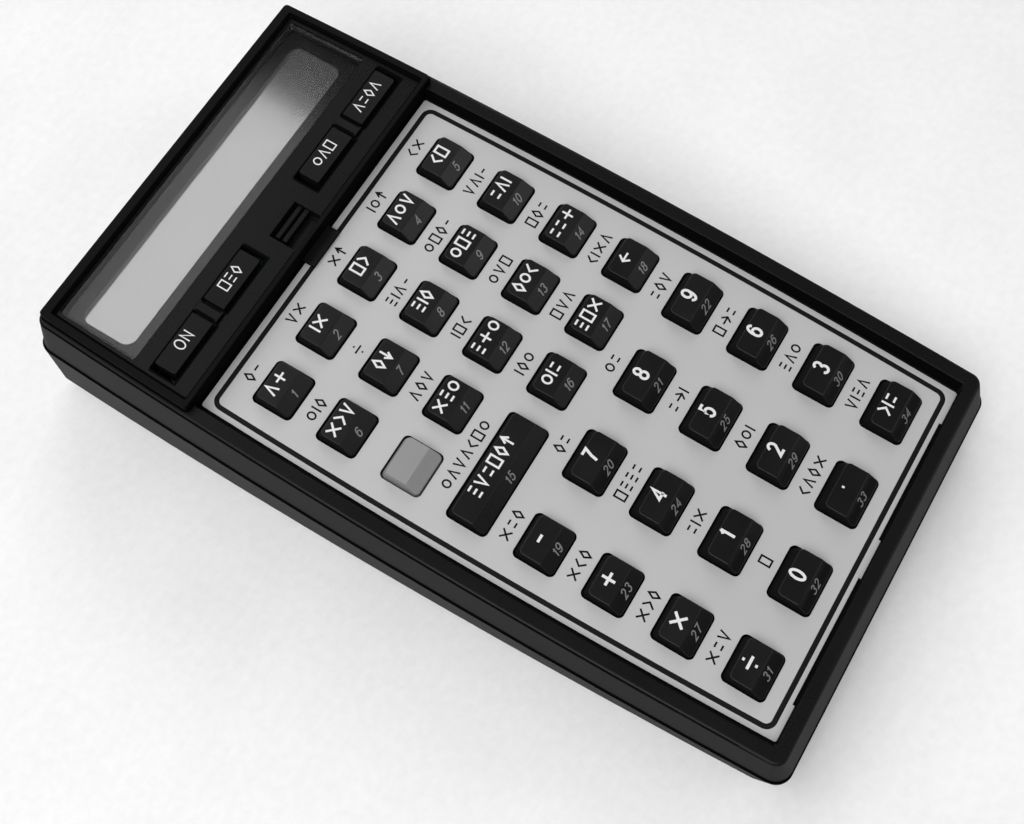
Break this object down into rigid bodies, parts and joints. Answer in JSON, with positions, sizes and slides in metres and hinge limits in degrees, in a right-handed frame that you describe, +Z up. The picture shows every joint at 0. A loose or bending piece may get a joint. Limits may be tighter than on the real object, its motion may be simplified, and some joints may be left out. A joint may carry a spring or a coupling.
{
  "type": "pocket calculator",
  "caption": "Hand-held calculator with a wedge-shaped case, sunken keyboard plate, raised display frame, rocker keys, drop-out battery tray and capped rear sockets.",
  "frame": {"origin": "on the surface that the feet stand on, under the middle of the length and width", "axes": "+Z up, +Y along the length towards the display, +X to the right of someone who uses it"},
  "size_m": [0.079, 0.1484, 0.0335],
  "materials": {
    "top_case": "fine texture, satin",
    "bottom_case": "fine texture, satin",
    "faceplate": "fine satin",
    "display_bezel": "fine texture, satin",
    "display_window": "clear",
    "display_mask": "matt",
    "lcd_panel": "satin",
    "circuit_board": "lacquered laminate",
    "steel": "plated",
    "brass": "plain",
    "rubber": "matt",
    "dark_plastic": "satin",
    "cell_sleeve": "printed film",
    "key_dark": "satin gloss",
    "key_grey": "satin gloss"
  },
  "bodies": {
    "case": {"top_case": "top_case", "bottom_case": "bottom_case", "faceplate": "faceplate", "display_bezel": "display_bezel", "display_window": "display_window", "display_mask": "display_mask", "lcd_panel": "lcd_panel", "display_board": "circuit_board", "case_screws": "steel", "rubber_feet": "rubber", "keyboard_board": "circuit_board", "switch_domes": "steel", "logic_board": "circuit_board", "circuit_components": "dark_plastic", "beeper": "brass", "port_frame": "dark_plastic", "battery_contacts": "steel"},
    "battery_tray": {"battery_holder": "dark_plastic", "battery_cells": "cell_sleeve"},
    "rocker_left": {"rocker_left": "key_dark"},
    "rocker_right": {"rocker_right": "key_dark"},
    "port_cap_upper_left": {"port_cap_upper_left": "dark_plastic"},
    "port_cap_upper_right": {"port_cap_upper_right": "dark_plastic"},
    "port_cap_lower_left": {"port_cap_lower_left": "dark_plastic"},
    "port_cap_lower_right": {"port_cap_lower_right": "dark_plastic"},
    "key_row1_1": {"key_row1_1": "key_dark"},
    "key_row1_2": {"key_row1_2": "key_dark"},
    "key_row1_3": {"key_row1_3": "key_dark"},
    "key_row1_4": {"key_row1_4": "key_dark"},
    "key_row1_5": {"key_row1_5": "key_dark"},
    "key_row2_1": {"key_row2_1": "key_dark"},
    "key_row2_2": {"key_row2_2": "key_dark"},
    "key_row2_3": {"key_row2_3": "key_dark"},
    "key_row2_4": {"key_row2_4": "key_dark"},
    "key_row2_5": {"key_row2_5": "key_dark"},
    "key_plain": {"key_plain": "key_grey"},
    "key_row3_2": {"key_row3_2": "key_dark"},
    "key_row3_3": {"key_row3_3": "key_dark"},
    "key_row3_4": {"key_row3_4": "key_dark"},
    "key_row3_5": {"key_row3_5": "key_dark"},
    "key_wide": {"key_wide": "key_dark"},
    "key_row4_3": {"key_row4_3": "key_dark"},
    "key_row4_4": {"key_row4_4": "key_dark"},
    "key_row4_5": {"key_row4_5": "key_dark"},
    "key_minus": {"key_minus": "key_dark"},
    "key_digit_7": {"key_digit_7": "key_dark"},
    "key_digit_8": {"key_digit_8": "key_dark"},
    "key_digit_9": {"key_digit_9": "key_dark"},
    "key_plus": {"key_plus": "key_dark"},
    "key_digit_4": {"key_digit_4": "key_dark"},
    "key_digit_5": {"key_digit_5": "key_dark"},
    "key_digit_6": {"key_digit_6": "key_dark"},
    "key_times": {"key_times": "key_dark"},
    "key_digit_1": {"key_digit_1": "key_dark"},
    "key_digit_2": {"key_digit_2": "key_dark"},
    "key_digit_3": {"key_digit_3": "key_dark"},
    "key_divide": {"key_divide": "key_dark"},
    "key_digit_0": {"key_digit_0": "key_dark"},
    "key_decimal_point": {"key_decimal_point": "key_dark"},
    "key_row8_4": {"key_row8_4": "key_dark"}
  },
  "joints": [
    {"name": "battery_tray_slide", "type": "slide", "parent": "case", "child": "battery_tray", "axis": [0, 0, -1], "range_m": [0, 0.016]},
    {"name": "rocker_left_tilt", "type": "hinge", "parent": "case", "child": "rocker_left", "pos_m": [-0.0206, 0.0417, 0.02664], "axis": [0, 0.993, 0.1182], "range_deg": [-3.5, 3.5], "stiffness_Nm_per_rad": 0.05},
    {"name": "rocker_right_tilt", "type": "hinge", "parent": "case", "child": "rocker_right", "pos_m": [0.0206, 0.0417, 0.02664], "axis": [0, 0.993, 0.1182], "range_deg": [-3.5, 3.5], "stiffness_Nm_per_rad": 0.05},
    {"name": "port_cap_upper_left_pull", "type": "slide", "parent": "case", "child": "port_cap_upper_left", "axis": [0, 0.993, 0.1182], "range_m": [0, 0.012]},
    {"name": "port_cap_upper_right_pull", "type": "slide", "parent": "case", "child": "port_cap_upper_right", "axis": [0, 0.993, 0.1182], "range_m": [0, 0.012]},
    {"name": "port_cap_lower_left_pull", "type": "slide", "parent": "case", "child": "port_cap_lower_left", "axis": [0, 0.993, 0.1182], "range_m": [0, 0.012]},
    {"name": "port_cap_lower_right_pull", "type": "slide", "parent": "case", "child": "port_cap_lower_right", "axis": [0, 0.993, 0.1182], "range_m": [0, 0.012]},
    {"name": "key_row1_1_press", "type": "slide", "parent": "case", "child": "key_row1_1", "axis": [0, 0.1182, -0.993], "range_m": [0, 0.001], "stiffness_N_per_m": 300, "springref_m": -0.0003},
    {"name": "key_row1_2_press", "type": "slide", "parent": "case", "child": "key_row1_2", "axis": [0, 0.1182, -0.993], "range_m": [0, 0.001], "stiffness_N_per_m": 300, "springref_m": -0.0003},
    {"name": "key_row1_3_press", "type": "slide", "parent": "case", "child": "key_row1_3", "axis": [0, 0.1182, -0.993], "range_m": [0, 0.001], "stiffness_N_per_m": 300, "springref_m": -0.0003},
    {"name": "key_row1_4_press", "type": "slide", "parent": "case", "child": "key_row1_4", "axis": [0, 0.1182, -0.993], "range_m": [0, 0.001], "stiffness_N_per_m": 300, "springref_m": -0.0003},
    {"name": "key_row1_5_press", "type": "slide", "parent": "case", "child": "key_row1_5", "axis": [0, 0.1182, -0.993], "range_m": [0, 0.001], "stiffness_N_per_m": 300, "springref_m": -0.0003},
    {"name": "key_row2_1_press", "type": "slide", "parent": "case", "child": "key_row2_1", "axis": [0, 0.1182, -0.993], "range_m": [0, 0.001], "stiffness_N_per_m": 300, "springref_m": -0.0003},
    {"name": "key_row2_2_press", "type": "slide", "parent": "case", "child": "key_row2_2", "axis": [0, 0.1182, -0.993], "range_m": [0, 0.001], "stiffness_N_per_m": 300, "springref_m": -0.0003},
    {"name": "key_row2_3_press", "type": "slide", "parent": "case", "child": "key_row2_3", "axis": [0, 0.1182, -0.993], "range_m": [0, 0.001], "stiffness_N_per_m": 300, "springref_m": -0.0003},
    {"name": "key_row2_4_press", "type": "slide", "parent": "case", "child": "key_row2_4", "axis": [0, 0.1182, -0.993], "range_m": [0, 0.001], "stiffness_N_per_m": 300, "springref_m": -0.0003},
    {"name": "key_row2_5_press", "type": "slide", "parent": "case", "child": "key_row2_5", "axis": [0, 0.1182, -0.993], "range_m": [0, 0.001], "stiffness_N_per_m": 300, "springref_m": -0.0003},
    {"name": "key_plain_press", "type": "slide", "parent": "case", "child": "key_plain", "axis": [0, 0.1182, -0.993], "range_m": [0, 0.001], "stiffness_N_per_m": 300, "springref_m": -0.0003},
    {"name": "key_row3_2_press", "type": "slide", "parent": "case", "child": "key_row3_2", "axis": [0, 0.1182, -0.993], "range_m": [0, 0.001], "stiffness_N_per_m": 300, "springref_m": -0.0003},
    {"name": "key_row3_3_press", "type": "slide", "parent": "case", "child": "key_row3_3", "axis": [0, 0.1182, -0.993], "range_m": [0, 0.001], "stiffness_N_per_m": 300, "springref_m": -0.0003},
    {"name": "key_row3_4_press", "type": "slide", "parent": "case", "child": "key_row3_4", "axis": [0, 0.1182, -0.993], "range_m": [0, 0.001], "stiffness_N_per_m": 300, "springref_m": -0.0003},
    {"name": "key_row3_5_press", "type": "slide", "parent": "case", "child": "key_row3_5", "axis": [0, 0.1182, -0.993], "range_m": [0, 0.001], "stiffness_N_per_m": 300, "springref_m": -0.0003},
    {"name": "key_wide_press", "type": "slide", "parent": "case", "child": "key_wide", "axis": [0, 0.1182, -0.993], "range_m": [0, 0.001], "stiffness_N_per_m": 300, "springref_m": -0.0003},
    {"name": "key_row4_3_press", "type": "slide", "parent": "case", "child": "key_row4_3", "axis": [0, 0.1182, -0.993], "range_m": [0, 0.001], "stiffness_N_per_m": 300, "springref_m": -0.0003},
    {"name": "key_row4_4_press", "type": "slide", "parent": "case", "child": "key_row4_4", "axis": [0, 0.1182, -0.993], "range_m": [0, 0.001], "stiffness_N_per_m": 300, "springref_m": -0.0003},
    {"name": "key_row4_5_press", "type": "slide", "parent": "case", "child": "key_row4_5", "axis": [0, 0.1182, -0.993], "range_m": [0, 0.001], "stiffness_N_per_m": 300, "springref_m": -0.0003},
    {"name": "key_minus_press", "type": "slide", "parent": "case", "child": "key_minus", "axis": [0, 0.1182, -0.993], "range_m": [0, 0.001], "stiffness_N_per_m": 300, "springref_m": -0.0003},
    {"name": "key_digit_7_press", "type": "slide", "parent": "case", "child": "key_digit_7", "axis": [0, 0.1182, -0.993], "range_m": [0, 0.001], "stiffness_N_per_m": 300, "springref_m": -0.0003},
    {"name": "key_digit_8_press", "type": "slide", "parent": "case", "child": "key_digit_8", "axis": [0, 0.1182, -0.993], "range_m": [0, 0.001], "stiffness_N_per_m": 300, "springref_m": -0.0003},
    {"name": "key_digit_9_press", "type": "slide", "parent": "case", "child": "key_digit_9", "axis": [0, 0.1182, -0.993], "range_m": [0, 0.001], "stiffness_N_per_m": 300, "springref_m": -0.0003},
    {"name": "key_plus_press", "type": "slide", "parent": "case", "child": "key_plus", "axis": [0, 0.1182, -0.993], "range_m": [0, 0.001], "stiffness_N_per_m": 300, "springref_m": -0.0003},
    {"name": "key_digit_4_press", "type": "slide", "parent": "case", "child": "key_digit_4", "axis": [0, 0.1182, -0.993], "range_m": [0, 0.001], "stiffness_N_per_m": 300, "springref_m": -0.0003},
    {"name": "key_digit_5_press", "type": "slide", "parent": "case", "child": "key_digit_5", "axis": [0, 0.1182, -0.993], "range_m": [0, 0.001], "stiffness_N_per_m": 300, "springref_m": -0.0003},
    {"name": "key_digit_6_press", "type": "slide", "parent": "case", "child": "key_digit_6", "axis": [0, 0.1182, -0.993], "range_m": [0, 0.001], "stiffness_N_per_m": 300, "springref_m": -0.0003},
    {"name": "key_times_press", "type": "slide", "parent": "case", "child": "key_times", "axis": [0, 0.1182, -0.993], "range_m": [0, 0.001], "stiffness_N_per_m": 300, "springref_m": -0.0003},
    {"name": "key_digit_1_press", "type": "slide", "parent": "case", "child": "key_digit_1", "axis": [0, 0.1182, -0.993], "range_m": [0, 0.001], "stiffness_N_per_m": 300, "springref_m": -0.0003},
    {"name": "key_digit_2_press", "type": "slide", "parent": "case", "child": "key_digit_2", "axis": [0, 0.1182, -0.993], "range_m": [0, 0.001], "stiffness_N_per_m": 300, "springref_m": -0.0003},
    {"name": "key_digit_3_press", "type": "slide", "parent": "case", "child": "key_digit_3", "axis": [0, 0.1182, -0.993], "range_m": [0, 0.001], "stiffness_N_per_m": 300, "springref_m": -0.0003},
    {"name": "key_divide_press", "type": "slide", "parent": "case", "child": "key_divide", "axis": [0, 0.1182, -0.993], "range_m": [0, 0.001], "stiffness_N_per_m": 300, "springref_m": -0.0003},
    {"name": "key_digit_0_press", "type": "slide", "parent": "case", "child": "key_digit_0", "axis": [0, 0.1182, -0.993], "range_m": [0, 0.001], "stiffness_N_per_m": 300, "springref_m": -0.0003},
    {"name": "key_decimal_point_press", "type": "slide", "parent": "case", "child": "key_decimal_point", "axis": [0, 0.1182, -0.993], "range_m": [0, 0.001], "stiffness_N_per_m": 300, "springref_m": -0.0003},
    {"name": "key_row8_4_press", "type": "slide", "parent": "case", "child": "key_row8_4", "axis": [0, 0.1182, -0.993], "range_m": [0, 0.001], "stiffness_N_per_m": 300, "springref_m": -0.0003}
  ]
}
